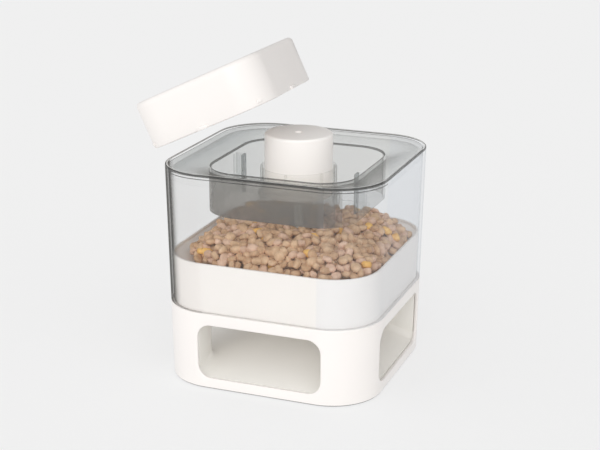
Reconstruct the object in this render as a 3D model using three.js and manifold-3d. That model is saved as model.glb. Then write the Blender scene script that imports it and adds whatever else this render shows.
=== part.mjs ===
// Push-to-feed pet food dispenser: a white base with four feeding windows, a clear hopper on
// top of it, a spring-loaded button on a valve rod down the middle, and a lift-off lid.
import * as THREE from "three";
import { mergeVertices } from "three/addons/utils/BufferGeometryUtils.js";
import Module from "manifold-3d";

const wasm = await Module();
wasm.setup();

// ---------------------------------------------------------------- driving dimensions, mm
const SIDE = 195; // outer side of the hopper at its rim
const DRAFT = 3; // how far each side leans in from the rim down to the foot
const CORNER = 44.4; // outer radius of the vertical corners
const BASE_TOP = 68.5; // deck that the hopper stands on
const RIM = 190; // upper edge of the clear wall
const GAP = 0.3; // play between pieces that touch
const SHELL = 3; // wall of the base
const CLEAR = 2.6; // wall of the hopper

const WINDOW = { width: 111, low: 9.8, high: 58, radius: 12 };
const PILLAR_SKIN = 2.2;
const PILLAR_ROUND = 13.6;
const FLOOR_SKIN = 2.4;
const FLOOR_APEX = 37;

const BAND_TOP = 111.8; // upper edge of the white hopper floor
const NECK = 30; // half width of the hopper's outlet
const NECK_LOW = 62;
const FUNNEL_HIGH = 109.2;
const FUNNEL_LOW = 72;

const WELL = { half: 64.8, corner: 31, edge: 184, low: 145.1, skin: 2 };
const STOP = { offset: 12, width: 8.2, depth: 8.7, top: 180.4, skin: 1.6 };
const SPOKE = { width: 3, top: 151.7 };
const HUB = { inner: 33.7, outer: 36.2, top: 153.7 };

const GUIDE = { outer: 33.4, inner: 31.6, low: 140.2, floor: 142.5, top: 178.7 };
const BUTTON = { radius: 29.6, top: 208.4, low: 153.7, skin: 2.2 };
const ROD_RADIUS = 4;
const ROD_TOP = 203.2;
const SPRING = { radius: 11.5, wire: 0.9, low: 143.8, high: 203.8, turns: 8 };
const PLUG = { radius: 33.6, low: 56.5, top: 72.5 };
const SEAL = { inner: 28.6, outer: 33.2, low: 59.1, high: 61.7 };
const NUT = { radius: 7.2, height: 4.2 };
const THREAD = 3; // radius of the rod's lower end

const LID = { half: 62.4, corner: 29, height: 41.7, skin: 2.4 };
const LID_PLACE = { x: -61.3, z: 219.3, tilt: 25.4 }; // middle of its lower edge, degrees
const PAD_LOW = 20.9; // underside of the press pad above the lid's lower edge

// Each "at" is a distance from the middle along X and along Y.
const POST = { at: 64, radius: 3.6 }; // screw posts of the base
const BOSS = { at: 74, radius: 4.2, depth: 82 }; // screw bosses of the hopper floor
const FOOT = { at: 71.8, radius: 6.5, height: 1.2 };
const PLATE = 2.6; // thickness of the bottom plate
const SCREW = { head: 3.1, headHeight: 1.1, shank: 1.5, slot: 0.8, baseLength: 13, deckLength: 14 };

// The heap of dry food: half width, corner radius, height and shift aside of each loop.
const HEAP = [
  [29.6, 28.6, 73],
  [6.5, 6.2, 76],
  [6.5, 6.2, 130.6],
  [30, 25, 132.6],
  [50, 30, 131.6],
  [68, 34, 128.6, 2],
  [76.5, 36, 121.6, 3],
  [82.5, 38, 113.6, 4],
  [84, 38.4, 109.6, 4],
];

const ARC_STEPS = 7; // facets of each rounded corner
const ROUND_STEPS = 32; // facets of each turned piece
const QUADRANTS = [[1, 1], [-1, 1], [-1, -1], [1, -1]];
const QUARTER = Math.PI / 2;

// ---------------------------------------------------------------- solids
function solid(geometry) {
  const bare = geometry.clone();
  bare.deleteAttribute("normal");
  bare.deleteAttribute("uv");
  const welded = mergeVertices(bare, 1e-4);
  const points = welded.attributes.position.array;
  const corners = welded.index.array;
  const kept = [];
  let volume = 0;
  const at = (i) => new THREE.Vector3().fromArray(points, 3 * i);
  for (let i = 0; i < corners.length; i += 3) {
    const [a, b, c] = [corners[i], corners[i + 1], corners[i + 2]];
    if (a !== b && b !== c && c !== a) {
      kept.push(a, b, c);
      volume += at(a).dot(at(b).cross(at(c)));
    }
  }
  if (volume < 0) {
    kept.reverse();
  }
  const mesh = new wasm.Mesh({
    numProp: 3,
    vertProperties: new Float32Array(points),
    triVerts: new Uint32Array(kept),
  });
  return new wasm.Manifold(mesh);
}

function geometryOf(body) {
  const mesh = body.getMesh();
  const geometry = new THREE.BufferGeometry();
  geometry.setAttribute("position", new THREE.BufferAttribute(mesh.vertProperties, 3));
  geometry.setIndex(new THREE.BufferAttribute(mesh.triVerts, 1));
  geometry.computeVertexNormals();
  return geometry;
}

// One horizontal loop of a square with rounded corners, which may stand aside towards +X and -Y.
function squareLoop([half, corner, z, aside = 0]) {
  const points = [];
  QUADRANTS.forEach(([sx, sy], quadrant) => {
    for (let step = 0; step <= ARC_STEPS; step += 1) {
      const angle = QUARTER * (quadrant + step / ARC_STEPS);
      const x = sx * (half - corner) + corner * Math.cos(angle);
      const y = sy * (half - corner) + corner * Math.sin(angle);
      points.push(new THREE.Vector3(x + aside, y - aside / 2, z));
    }
  });
  return points;
}

// Joins loops, each given as [half width, corner radius, height, aside]. A ring's last loop meets
// its first one; a block's first and last loops are capped.
function lofted(sections, ring) {
  const loops = sections.map(squareLoop);
  const count = loops[0].length;
  const positions = loops.flat().flatMap((point) => point.toArray());
  const index = [];
  for (let band = 0; band < loops.length - (ring ? 0 : 1); band += 1) {
    const near = band * count;
    const far = ((band + 1) % loops.length) * count;
    for (let i = 0; i < count; i += 1) {
      const j = (i + 1) % count;
      index.push(near + i, near + j, far + j, near + i, far + j, far + i);
    }
  }
  if (!ring) {
    const low = positions.length / 3;
    const last = (loops.length - 1) * count;
    positions.push(0, 0, sections[0][2], 0, 0, sections[sections.length - 1][2]);
    for (let i = 0; i < count; i += 1) {
      const j = (i + 1) % count;
      index.push(low, j, i, low + 1, last + i, last + j);
    }
  }
  const geometry = new THREE.BufferGeometry();
  geometry.setAttribute("position", new THREE.Float32BufferAttribute(positions, 3));
  geometry.setIndex(index);
  return solid(geometry);
}

const ring = (sections) => lofted(sections, true);
const block = (sections) => lofted(sections, false);

// A loop that runs the same distance inside the feeder's leaning outer face all round.
function inset(distance, z) {
  const lean = DRAFT * (1 - z / RIM);
  return [SIDE / 2 - lean - distance, CORNER - distance, z];
}

// A turned body about the Z axis, from a profile of [radius, height] points.
function turned(profile, steps = ROUND_STEPS) {
  const closed = [...profile, profile[0]].map(([r, z]) => new THREE.Vector2(r, z));
  const geometry = new THREE.LatheGeometry(closed, steps);
  geometry.rotateX(QUARTER);
  return solid(geometry);
}

const rod = (radius, low, high, steps = 12) =>
  turned([[0, low], [radius, low], [radius, high], [0, high]], steps);

function boxed(x0, x1, y0, y1, z0, z1) {
  const geometry = new THREE.BoxGeometry(x1 - x0, y1 - y0, z1 - z0);
  geometry.translate((x0 + x1) / 2, (y0 + y1) / 2, (z0 + z1) / 2);
  return solid(geometry);
}

function extruded(shape, low, high) {
  const geometry = new THREE.ExtrudeGeometry(shape, {
    depth: high - low,
    bevelEnabled: false,
    curveSegments: ARC_STEPS,
  });
  geometry.translate(0, 0, low);
  return solid(geometry);
}

const turnedAbout = (body, degrees) => body.rotate([0, 0, degrees]);
const movedTo = (body, x, y) => body.translate([x, y, 0]);

function fourTimes(makeOne, combine, body) {
  let result = body;
  for (const degrees of [0, 90, 180, 270]) {
    result = result[combine](turnedAbout(makeOne(), degrees));
  }
  return result;
}

// ---------------------------------------------------------------- base
function windowCutter() {
  const { width, low, high, radius } = WINDOW;
  const shape = new THREE.Shape();
  const side = width / 2 - radius;
  const middle = (low + high) / 2;
  const rise = (high - low) / 2 - radius;
  QUADRANTS.forEach(([sx, sz], quadrant) => {
    const start = QUARTER * quadrant;
    shape.absarc(sx * side, sz * rise, radius, start, start + QUARTER, false);
  });
  return extruded(shape, -10, 10).rotate([90, 0, 0]).translate([0, -SIDE / 2, middle]);
}

function baseShell() {
  const deckLow = BASE_TOP - SHELL;
  let body = ring([
    inset(1.6, 0),
    inset(0.5, 0.6),
    inset(0, 2),
    inset(0, BASE_TOP - 0.6),
    inset(0.5, BASE_TOP),
    [NECK + 4.5, NECK + 3.5, BASE_TOP],
    [NECK + 4.5, NECK + 3.5, deckLow],
    inset(SHELL, deckLow),
    inset(SHELL, 0),
  ]);
  body = fourTimes(windowCutter, "subtract", body);
  const post = () => movedTo(rod(POST.radius, PLATE + GAP, deckLow + 1), POST.at, POST.at);
  const postBore = () => movedTo(rod(SCREW.shank + GAP, 0, 20), POST.at, POST.at);
  const deckHole = () => movedTo(rod(SCREW.shank + GAP, deckLow - 1, BASE_TOP + 1), BOSS.at, BOSS.at);
  body = fourTimes(post, "add", body);
  body = fourTimes(postBore, "subtract", body);
  return fourTimes(deckHole, "subtract", body);
}

// Outline of a cross whose four inner corners are rounded.
function crossShape(halfWidth, reach, round) {
  const shape = new THREE.Shape();
  for (let arm = 0; arm < 4; arm += 1) {
    const turn = new THREE.Vector2();
    const place = (x, y) => turn.set(x, y).rotateAround(new THREE.Vector2(), arm * QUARTER);
    const first = place(reach, -halfWidth).clone();
    const second = place(reach, halfWidth).clone();
    const centre = place(halfWidth + round, halfWidth + round).clone();
    if (arm === 0) {
      shape.moveTo(first.x, first.y);
    } else {
      shape.lineTo(first.x, first.y);
    }
    shape.lineTo(second.x, second.y);
    const start = arm * QUARTER - QUARTER;
    shape.absarc(centre.x, centre.y, round, start, start - QUARTER, true);
  }
  return shape;
}

// Everything below a pyramid that rises from the windows' lower edges to the middle.
function belowFloor(drop) {
  const edge = WINDOW.low - drop;
  const apex = FLOOR_APEX - drop;
  const [reach] = inset(SHELL, WINDOW.low);
  const shoulder = 16;
  const rise = (apex - edge) / reach;
  return block([
    [reach + 8, 30, -20],
    [reach + 8, 30, edge - 8 * rise],
    [shoulder, 12, edge + rise * (reach - shoulder)],
    [7, 6, apex - rise * 4],
    [1.5, 1.2, apex - rise * 1.5],
  ]);
}

function feedingTray() {
  const low = PLATE + GAP;
  const high = BASE_TOP - SHELL - GAP;
  const half = WINDOW.width / 2;
  const beyond = SIDE / 2 + 5;
  const [reach] = inset(SHELL + GAP, low);
  const cross = crossShape(half + PILLAR_SKIN, beyond, PILLAR_ROUND - PILLAR_SKIN);
  const room = block([inset(SHELL + GAP, low), inset(SHELL + GAP, high)]);
  const outside = extruded(cross, low, high).intersect(room);
  const chamber = extruded(crossShape(half, beyond + 1, PILLAR_ROUND), low - 1, high + 1);
  const hollow = extruded(crossShape(half, reach - PILLAR_SKIN, PILLAR_ROUND), low - 1, high);
  const floorTop = belowFloor(0);
  const floorLow = belowFloor(FLOOR_SKIN);
  return outside.subtract(chamber.subtract(floorTop)).subtract(hollow.intersect(floorLow));
}

function bottomPlate() {
  let body = block([inset(SHELL + GAP + 0.4, 0), inset(SHELL + GAP, 0.5), inset(SHELL + GAP, PLATE)]);
  const screwHole = () => movedTo(rod(SCREW.shank + GAP, -1, PLATE + 1), POST.at, POST.at);
  const counterbore = () => movedTo(rod(SCREW.head + GAP, -1, 1.6), POST.at, POST.at);
  const footPocket = () => movedTo(rod(FOOT.radius + GAP, -1, FOOT.height + GAP), FOOT.at, FOOT.at);
  body = fourTimes(screwHole, "subtract", body);
  body = fourTimes(counterbore, "subtract", body);
  return fourTimes(footPocket, "subtract", body);
}

// A cross-head screw that points up, its head's underside at the given height.
function screw(seat, length) {
  const headLow = seat - SCREW.headHeight;
  const halfSlot = SCREW.slot / 2;
  let body = turned([
    [0, headLow],
    [SCREW.head, headLow],
    [SCREW.head, seat],
    [SCREW.shank, seat],
    [SCREW.shank, seat + length - 1],
    [0, seat + length],
  ], 12);
  body = body.subtract(boxed(-1.8, 1.8, -halfSlot, halfSlot, headLow - 1, headLow + 0.5));
  return body.subtract(boxed(-halfSlot, halfSlot, -1.8, 1.8, headLow - 1, headLow + 0.5));
}

// ---------------------------------------------------------------- hopper
function hopperFloor() {
  const outer = SHELL + 0.1;
  const inner = outer + 2.4;
  let body = ring([
    inset(outer, BASE_TOP + GAP),
    inset(outer, BAND_TOP - 0.5),
    inset(outer + 0.5, BAND_TOP),
    inset(outer + 1.7, BAND_TOP),
    inset(outer + 2.2, BAND_TOP - 0.6),
    inset(outer + 2.2, FUNNEL_HIGH),
    [NECK, NECK - 1, FUNNEL_LOW],
    [NECK, NECK - 1, NECK_LOW],
    [NECK + 2.4, NECK + 1.4, NECK_LOW],
    [NECK + 2.4, NECK + 1.4, FUNNEL_LOW - 1.4],
    inset(inner, FUNNEL_HIGH - 2.9),
    inset(inner, BASE_TOP + GAP),
  ]);
  const space = block([
    [NECK, NECK - 1, NECK_LOW],
    [NECK, NECK - 1, FUNNEL_LOW],
    inset(outer + 2.2, FUNNEL_HIGH),
    inset(outer + 2.2, 140),
  ]);
  const low = BASE_TOP + GAP;
  const boss = () => movedTo(rod(BOSS.radius, low, 120), BOSS.at, BOSS.at).subtract(space);
  const bossBore = () => movedTo(rod(SCREW.shank + GAP, low - 1, BOSS.depth), BOSS.at, BOSS.at);
  body = fourTimes(boss, "add", body);
  return fourTimes(bossBore, "subtract", body);
}

function hopperWall() {
  const low = BASE_TOP + GAP;
  return ring([
    inset(0, low),
    inset(0, RIM - 1.4),
    inset(0.5, RIM - 0.4),
    inset(1.1, RIM),
    inset(CLEAR - 0.6, RIM),
    inset(CLEAR, RIM - 0.6),
    inset(CLEAR, low),
  ]);
}

// A hollow upright on the left wall of the well that ends the lid's downward travel.
function lidStop() {
  const { offset, width, depth, top, skin } = STOP;
  const wall = -WELL.half;
  const post = boxed(wall - 1, wall + depth, offset - width / 2, offset + width / 2, WELL.low, top);
  const slot = boxed(
    wall + skin, wall + depth - skin,
    offset - width / 2 + skin, offset + width / 2 - skin,
    WELL.low + skin, top + 1,
  );
  return post.subtract(slot);
}

function fillerThroat() {
  const { half, corner, edge, low, skin } = WELL;
  const seat = CLEAR + GAP;
  const flangeLow = RIM - 10.8;
  const body = ring([
    inset(seat, flangeLow),
    inset(seat, RIM - 2.2),
    inset(seat + 0.6, RIM - 1.6),
    inset(seat + 2.6, RIM - 1.8),
    [half + 1.8, corner + 1.8, edge + 0.7],
    [half + 0.4, corner + 0.4, edge],
    [half, corner, edge - 1.4],
    [half, corner, low],
    [half + skin, corner + skin, low],
    [half + skin, corner + skin, edge - 2],
    [half + skin + 1, corner + skin + 1, edge - 1.2],
    inset(seat + 4.1, RIM - 3.9),
    inset(seat + 2, RIM - 4.2),
    inset(seat + 2, flangeLow),
  ]);
  return body.add(lidStop()).add(turnedAbout(lidStop(), 180));
}

// The hub that holds the guide tube, on four spokes inside the well's lower edge.
function guideSpider() {
  const { inner, outer, top: hubTop } = HUB;
  const { width, top } = SPOKE;
  const { half, low } = WELL;
  const hub = turned([[inner, low], [outer, low], [outer, hubTop], [inner, hubTop]]);
  const spoke = () => boxed(outer - 1, half - GAP, -width / 2, width / 2, low, top);
  return fourTimes(spoke, "add", hub);
}

function guideTube() {
  const { outer, inner, low, floor, top } = GUIDE;
  const bore = ROD_RADIUS + 0.6;
  const lip = HUB.top + GAP;
  let body = turned([
    [bore, low],
    [outer, low],
    [outer, lip],
    [outer + 2, lip],
    [outer + 2, lip + 1.6],
    [outer, lip + 1.6],
    [outer, top - 0.6],
    [outer - 0.5, top],
    [inner + 0.5, top],
    [inner, top - 0.6],
    [inner, floor],
    [bore, floor],
  ]);
  for (let rib = 0; rib < 6; rib += 1) {
    const bar = boxed(inner - 1.2, inner + 0.5, -1.2, 1.2, floor - 0.5, top - 1);
    body = body.add(turnedAbout(bar, 30 + 60 * rib));
  }
  return body;
}

// ---------------------------------------------------------------- button and valve
function buttonCap() {
  const { radius, top, low, skin } = BUTTON;
  const socket = ROD_RADIUS + GAP;
  return turned([
    [0, top - 1.2],
    [2.4, top - 0.7],
    [3.6, top],
    [radius - 1.8, top],
    [radius - 0.6, top - 0.5],
    [radius, top - 1.8],
    [radius, low],
    [radius - skin, low],
    [radius - skin, top - 3.3],
    [7.5, top - 3.3],
    [7.5, ROD_TOP - 14],
    [socket, ROD_TOP - 14],
    [socket, ROD_TOP + GAP],
    [0, ROD_TOP + GAP],
  ]);
}

function plungerRod() {
  const end = PLUG.low - 7;
  return turned([
    [0, end],
    [2.4, end],
    [THREAD, end + 0.6],
    [THREAD, PLUG.low + GAP],
    [ROD_RADIUS, PLUG.low + GAP],
    [ROD_RADIUS, ROD_TOP],
    [0, ROD_TOP],
  ], 16);
}

function returnSpring() {
  const { radius, wire, low, high, turns } = SPRING;
  class Coil extends THREE.Curve {
    getPoint(t, target = new THREE.Vector3()) {
      const angle = 2 * Math.PI * turns * t;
      return target.set(radius * Math.cos(angle), radius * Math.sin(angle), low + (high - low) * t);
    }
  }
  const section = new THREE.Shape();
  section.absarc(0, 0, wire, 0, 2 * Math.PI, false);
  const geometry = new THREE.ExtrudeGeometry(section, {
    steps: turns * 12,
    curveSegments: 3,
    extrudePath: new Coil(),
  });
  return solid(geometry);
}

function valvePlug() {
  const { radius, low, top } = PLUG;
  const bore = ROD_RADIUS + GAP;
  return turned([
    [bore, low],
    [7.5, low],
    [7.5, top - 3.5],
    [9.5, top - 3.9],
    [25.8, low + 2.9],
    [25.8, low],
    [radius - 0.5, low],
    [radius, low + 0.5],
    [radius, low + 2.3],
    [28.2, low + 2.3],
    [28.2, low + 4.5],
    [10, top - 1.5],
    [bore, top],
  ]);
}

function valveSeal() {
  const { inner, outer, low, high } = SEAL;
  return turned([[inner, low], [outer, low], [outer - 0.6, high], [inner + 0.6, high]]);
}

function valveNut() {
  const top = PLUG.low - GAP;
  return rod(NUT.radius, top - NUT.height, top, 6).subtract(rod(THREAD + GAP, 0, top + 1));
}

// ---------------------------------------------------------------- lid, about its lower edge
function lidShell() {
  const { half, corner, height, skin } = LID;
  const outside = block([
    [half, corner, 0],
    [half, corner, height - 3.5],
    [half - 0.5, corner - 0.5, height - 1.6],
    [half - 1.7, corner - 1.7, height - 0.4],
    [half - 3.4, corner - 3.4, height],
  ]);
  const inside = block([
    [half - skin, corner - skin, -1],
    [half - skin, corner - skin, height - 4],
    [half - skin - 1.2, corner - skin - 1.2, height - 2.6],
  ]);
  let body = outside.subtract(inside);
  const roof = height - 2;
  body = body.add(turned([[10.2, PAD_LOW + 2.5], [12.4, PAD_LOW + 2.5], [12.4, roof], [10.2, roof]]));
  const web = () => boxed(12, half - 1.5, -0.8, 0.8, 32, roof);
  const tab = () => boxed(half - 1, half + 1.1, -4.5, 4.5, 0, 3.2);
  const diagonal = (half - corner) * Math.SQRT2 + corner;
  const lug = () => turnedAbout(boxed(diagonal - 1, diagonal + 1, -2.6, 2.6, 2.4, 5.4), 45);
  body = fourTimes(web, "add", body);
  body = fourTimes(tab, "add", body);
  return fourTimes(lug, "add", body);
}

const pressPad = () => turned([
  [0, PAD_LOW],
  [12.9, PAD_LOW],
  [13.5, PAD_LOW + 0.6],
  [13.5, PAD_LOW + 2.2],
  [9.9, PAD_LOW + 2.2],
  [9.9, PAD_LOW + 9],
  [0, PAD_LOW + 9],
]);

// ---------------------------------------------------------------- dry food in the hopper
const kibbleFill = () => ring(HEAP);

// ---------------------------------------------------------------- assembly
const feeder = new THREE.Group();
// colour, roughness, metalness
const FINISHES = {
  white: [0xf6f3ec, 0.42, 0],
  clear: [0xdfe6ea, 0.08, 0],
  steel: [0xb9bcc0, 0.3, 1],
  grey: [0x6d6f70, 0.8, 0],
  tan: [0xb98d66, 0.85, 0],
  nylon: [0xe7e4dc, 0.5, 0],
};

function place(name, shape, finish, parent = feeder) {
  const [color, roughness, metalness] = FINISHES[finish];
  const transparent = finish === "clear";
  const opacity = transparent ? 0.35 : 1;
  const material = new THREE.MeshStandardMaterial({ color, roughness, metalness, transparent, opacity });
  const mesh = new THREE.Mesh(geometryOf(shape), material);
  mesh.name = name;
  parent.add(mesh);
  return mesh;
}

function placeFour(name, makeShape, finish, distance) {
  QUADRANTS.forEach(([sx, sy], i) => {
    place(`${name}_${i + 1}`, makeShape(), finish).position.set(sx * distance, sy * distance, 0);
  });
}

place("base_shell", baseShell(), "white");
place("feeding_tray", feedingTray(), "white");
place("bottom_plate", bottomPlate(), "white");
placeFour("foot_pad", () => rod(FOOT.radius, 0, FOOT.height, 24), "grey", FOOT.at);
placeFour("base_screw", () => screw(1.3, SCREW.baseLength), "steel", POST.at);
placeFour("deck_screw", () => screw(BASE_TOP - SHELL - GAP, SCREW.deckLength), "steel", BOSS.at);

place("hopper_floor", hopperFloor(), "white");
place("hopper_wall", hopperWall(), "clear");
place("filler_throat", fillerThroat(), "clear");
place("guide_spider", guideSpider(), "clear");
place("guide_tube", guideTube(), "clear");
place("kibble_fill", kibbleFill(), "tan");

place("button_cap", buttonCap(), "white");
place("plunger_rod", plungerRod(), "nylon");
place("return_spring", returnSpring(), "steel");
place("valve_plug", valvePlug(), "white");
place("valve_seal", valveSeal(), "grey");
place("valve_nut", valveNut(), "nylon");

const lid = new THREE.Group();
lid.position.set(LID_PLACE.x, 0, LID_PLACE.z);
lid.rotation.y = -THREE.MathUtils.degToRad(LID_PLACE.tilt);
place("lid_shell", lidShell(), "white", lid);
place("lid_press_pad", pressPad(), "grey", lid);
feeder.add(lid);

export default feeder;
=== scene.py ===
"""Looks of the push-to-feed pet feeder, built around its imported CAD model."""

import math
import random

import bmesh
import bpy
import numpy as np
from mathutils import Matrix, Vector


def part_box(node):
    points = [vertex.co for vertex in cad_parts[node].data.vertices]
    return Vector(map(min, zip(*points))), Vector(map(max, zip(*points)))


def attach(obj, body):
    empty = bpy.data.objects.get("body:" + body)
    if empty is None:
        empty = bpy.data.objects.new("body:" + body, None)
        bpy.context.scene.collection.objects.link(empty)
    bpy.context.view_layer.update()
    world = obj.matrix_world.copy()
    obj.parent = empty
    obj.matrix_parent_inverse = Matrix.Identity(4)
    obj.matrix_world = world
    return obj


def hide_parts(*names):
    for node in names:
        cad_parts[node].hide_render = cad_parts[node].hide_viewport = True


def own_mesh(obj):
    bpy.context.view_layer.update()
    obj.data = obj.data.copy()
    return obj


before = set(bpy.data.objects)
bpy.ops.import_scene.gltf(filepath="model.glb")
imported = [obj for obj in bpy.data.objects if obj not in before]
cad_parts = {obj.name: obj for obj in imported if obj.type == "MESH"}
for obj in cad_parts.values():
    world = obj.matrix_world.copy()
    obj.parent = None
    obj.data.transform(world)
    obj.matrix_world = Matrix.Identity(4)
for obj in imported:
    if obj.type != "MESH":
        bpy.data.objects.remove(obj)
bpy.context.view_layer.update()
MM = 0.001
ROOT, PLUNGER, LID = "base_and_hopper", "plunger", "lid"


# ---------------------------------------------------------------- sizes, millimetres
def corners_of(node):
    """The lowest and the highest corner of a CAD node's box, in millimetres."""
    return [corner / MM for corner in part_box(node)]


wall_low, wall_high = corners_of("hopper_wall")
throat_low, throat_high = corners_of("filler_throat")
spider_low, spider_high = corners_of("guide_spider")
tube_low, tube_high = corners_of("guide_tube")
cap_low, cap_high = corners_of("button_cap")
rod_low, rod_high = corners_of("plunger_rod")
plug_low, plug_high = corners_of("valve_plug")
seal_low, seal_high = corners_of("valve_seal")
spring_low, spring_high = corners_of("return_spring")
tray_low, tray_high = corners_of("feeding_tray")

# The feeder's outer face: half width at the rim, how far each side leans in, and the corner radius.
HALF, DRAFT, CORNER = wall_high.x, 3, 44.4
RIM = wall_high.z
BASE_TOP = corners_of("base_shell")[1].z
BAND_TOP = corners_of("hopper_floor")[1].z
SHELL, CLEAR = 3, 2.6  # wall thickness of the white base and of the clear hopper
WINDOW = {"half": 55.5, "low": 9.8, "high": 58, "radius": 12}
PILLAR_RADIUS, PILLAR_SKIN = 13.6, 2.2
RIM_LINE_LOW, RIM_LINE_HIGH, RIM_EDGE = RIM - 4.3, RIM - 3.5, RIM - 2
WELL_HALF, WELL_CORNER, WELL_EDGE, WELL_SKIN = 64.8, 31, 184, 2
STOP_DEPTH, STOP_SKIN, STOP_TOP = 8.7, 1.6, 180.4
STOP_END = WELL_HALF - STOP_DEPTH + STOP_SKIN
THROAT_CREST = throat_high.z - 1.4
BAND_OUT = -SHELL - 0.1  # the hopper floor's band stands inside the clear wall
NECK, NECK_LOW, FUNNEL_LOW, FUNNEL_HIGH, FUNNEL_INSET = 30, 62, 72, 109.2, 5.3
LID_HALF, LID_CORNER, LID_HEIGHT, LID_SKIN = 62.4, 29, 41.7, 2.4
LID_MIDDLE, LID_TILT = (-61.3, 0, 219.3), 25.4  # millimetres and degrees, as the photograph shows it
PAD_LOW = 20.9
HEAP_HALF = 84


# ---------------------------------------------------------------- mesh building
def add_mesh(name, vertices, faces):
    """A new piece from vertices in millimetres and faces."""
    mesh = bpy.data.meshes.new(name)
    mesh.from_pydata([tuple(MM * c for c in v) for v in vertices], [], faces)
    mesh.validate()
    piece = bpy.data.objects.new(name, mesh)
    bpy.context.scene.collection.objects.link(piece)
    return piece


def tidy(piece, sharp=35):
    """Points the faces out and smooths every edge flatter than sharp degrees."""
    work = bmesh.new()
    work.from_mesh(piece.data)
    bmesh.ops.recalc_face_normals(work, faces=work.faces)
    work.to_mesh(piece.data)
    work.free()
    piece.data.shade_smooth()
    piece.data.set_sharp_from_angle(angle=math.radians(sharp))
    return piece


def apply_modifiers(piece):
    """Keeps the shape that the modifiers give and drops them."""
    depsgraph = bpy.context.evaluated_depsgraph_get()
    mesh = bpy.data.meshes.new_from_object(piece.evaluated_get(depsgraph))
    piece.modifiers.clear()
    piece.data = mesh
    return piece


def arc(out, z, radius, start, end, steps=5):
    """Points of a fillet in the (outward, height) plane, angles in degrees from outward."""
    turns = np.radians(np.linspace(start, end, steps + 1))
    return [(out + radius * math.cos(a), z + radius * math.sin(a)) for a in turns]


def half_at(z):
    """Half width of the feeder's outer face at a height: its sides lean in towards the foot."""
    return HALF - DRAFT * (1 - z / RIM)


def around(profile, half=None, corner=CORNER):
    """Loops of a rounded square, each offset outward from the given one, or from the outer face."""
    return [((half or half_at(z)) + out, corner + out, z) for out, z in profile]


def square_loop(half, corner, z):
    """Points of a rounded square at a height, anticlockwise from +X."""
    points, steps = [], 16
    for quadrant, (sx, sy) in enumerate(((1, 1), (-1, 1), (-1, -1), (1, -1))):
        for step in range(steps + 1):
            angle = math.pi / 2 * (quadrant + step / steps)
            x = sx * (half - corner) + corner * math.cos(angle)
            y = sy * (half - corner) + corner * math.sin(angle)
            points.append((x, y, z))
    return points


def from_square(centre, half, corner):
    """Signed distance in plan from a rounded square to a point, outside positive."""
    dx, dy = abs(centre.x) - (half - corner), abs(centre.y) - (half - corner)
    return math.hypot(max(dx, 0), max(dy, 0)) + min(max(dx, dy), 0) - corner


def loft(name, sections, closed=True, caps=(False, False)):
    """Joins (half width, corner radius, height) loops into a ring, or into a capped block."""
    loops = [square_loop(*section) for section in sections]
    count = len(loops[0])
    vertices = [point for loop in loops for point in loop]
    faces = []
    for band in range(len(loops) - (0 if closed else 1)):
        near, far = band * count, (band + 1) % len(loops) * count
        for i in range(count):
            j = (i + 1) % count
            faces.append((near + i, near + j, far + j, far + i))
    if caps[0]:
        faces.append(tuple(range(count))[::-1])
    if caps[1]:
        faces.append(tuple(range((len(loops) - 1) * count, len(loops) * count)))
    return add_mesh(name, vertices, faces)


def turn(name, profile, steps=72):
    """A body turned about Z from a closed loop of (radius, height) points."""
    vertices, rows = [], []
    for radius, z in profile:
        if radius < 1e-6:  # every face shares the one point on the axis
            vertices.append((0, 0, z))
            rows.append([len(vertices) - 1] * steps)
        else:
            first = len(vertices)
            for i in range(steps):
                angle = 2 * math.pi * i / steps
                vertices.append((radius * math.cos(angle), radius * math.sin(angle), z))
            rows.append(list(range(first, first + steps)))
    faces = []
    for near, far in zip(rows, rows[1:] + rows[:1]):
        for i in range(steps):
            j = (i + 1) % steps
            corners = list(dict.fromkeys((near[i], near[j], far[j], far[i])))
            if len(corners) > 2:
                faces.append(tuple(corners))
    return add_mesh(name, vertices, faces)


def bar(name, x0, x1, y0, y1, z0, z1, bevel, turned):
    """A bevelled block, turned about the Z axis of the feeder."""
    corners = [(x, y, z) for x in (x0, x1) for y in (y0, y1) for z in (z0, z1)]
    faces = [(0, 1, 3, 2), (4, 6, 7, 5), (0, 4, 5, 1), (2, 3, 7, 6), (0, 2, 6, 4), (1, 5, 7, 3)]
    piece = add_mesh(name, corners, faces)
    piece.data.transform(Matrix.Rotation(math.radians(turned), 4, "Z"))
    rounding = piece.modifiers.new("rounding", "BEVEL")
    rounding.width = bevel * MM
    rounding.segments = 2
    return apply_modifiers(piece)


def join(piece, others):
    """Adds the meshes of the others to piece's own."""
    work = bmesh.new()
    for part in (piece, *others):
        work.from_mesh(part.data)
    work.to_mesh(piece.data)
    work.free()
    for part in others:
        bpy.data.objects.remove(part)
    return piece


def cut(piece, cutter):
    """Takes the cutter's volume out of piece."""
    change = piece.modifiers.new("cut", "BOOLEAN")
    change.operation = "DIFFERENCE"
    change.solver = "EXACT"
    change.object = cutter
    apply_modifiers(piece)
    bpy.data.objects.remove(cutter)
    return piece


def stand_for(piece, node, body, material):
    """Shows piece in place of a CAD node and makes it ride on the node's body."""
    piece.data.materials.clear()
    piece.data.materials.append(material)
    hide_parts(node)
    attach(piece, body)
    return piece


def paint(piece, material, chosen):
    """Gives material to the faces of piece whose centre, in millimetres, and normal are chosen."""
    piece.data.materials.append(material)
    slot = len(piece.data.materials) - 1
    for face in piece.data.polygons:
        if chosen(face.center / MM, face.normal):
            face.material_index = slot


# ---------------------------------------------------------------- materials
def new_material(name):
    """A material that holds one Principled shader."""
    material = bpy.data.materials.new(name)
    material.use_nodes = True
    tree = material.node_tree
    tree.nodes.clear()
    output = tree.nodes.new("ShaderNodeOutputMaterial")
    shader = tree.nodes.new("ShaderNodeBsdfPrincipled")
    tree.links.new(shader.outputs[0], output.inputs["Surface"])
    return material, tree, shader, output


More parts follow.
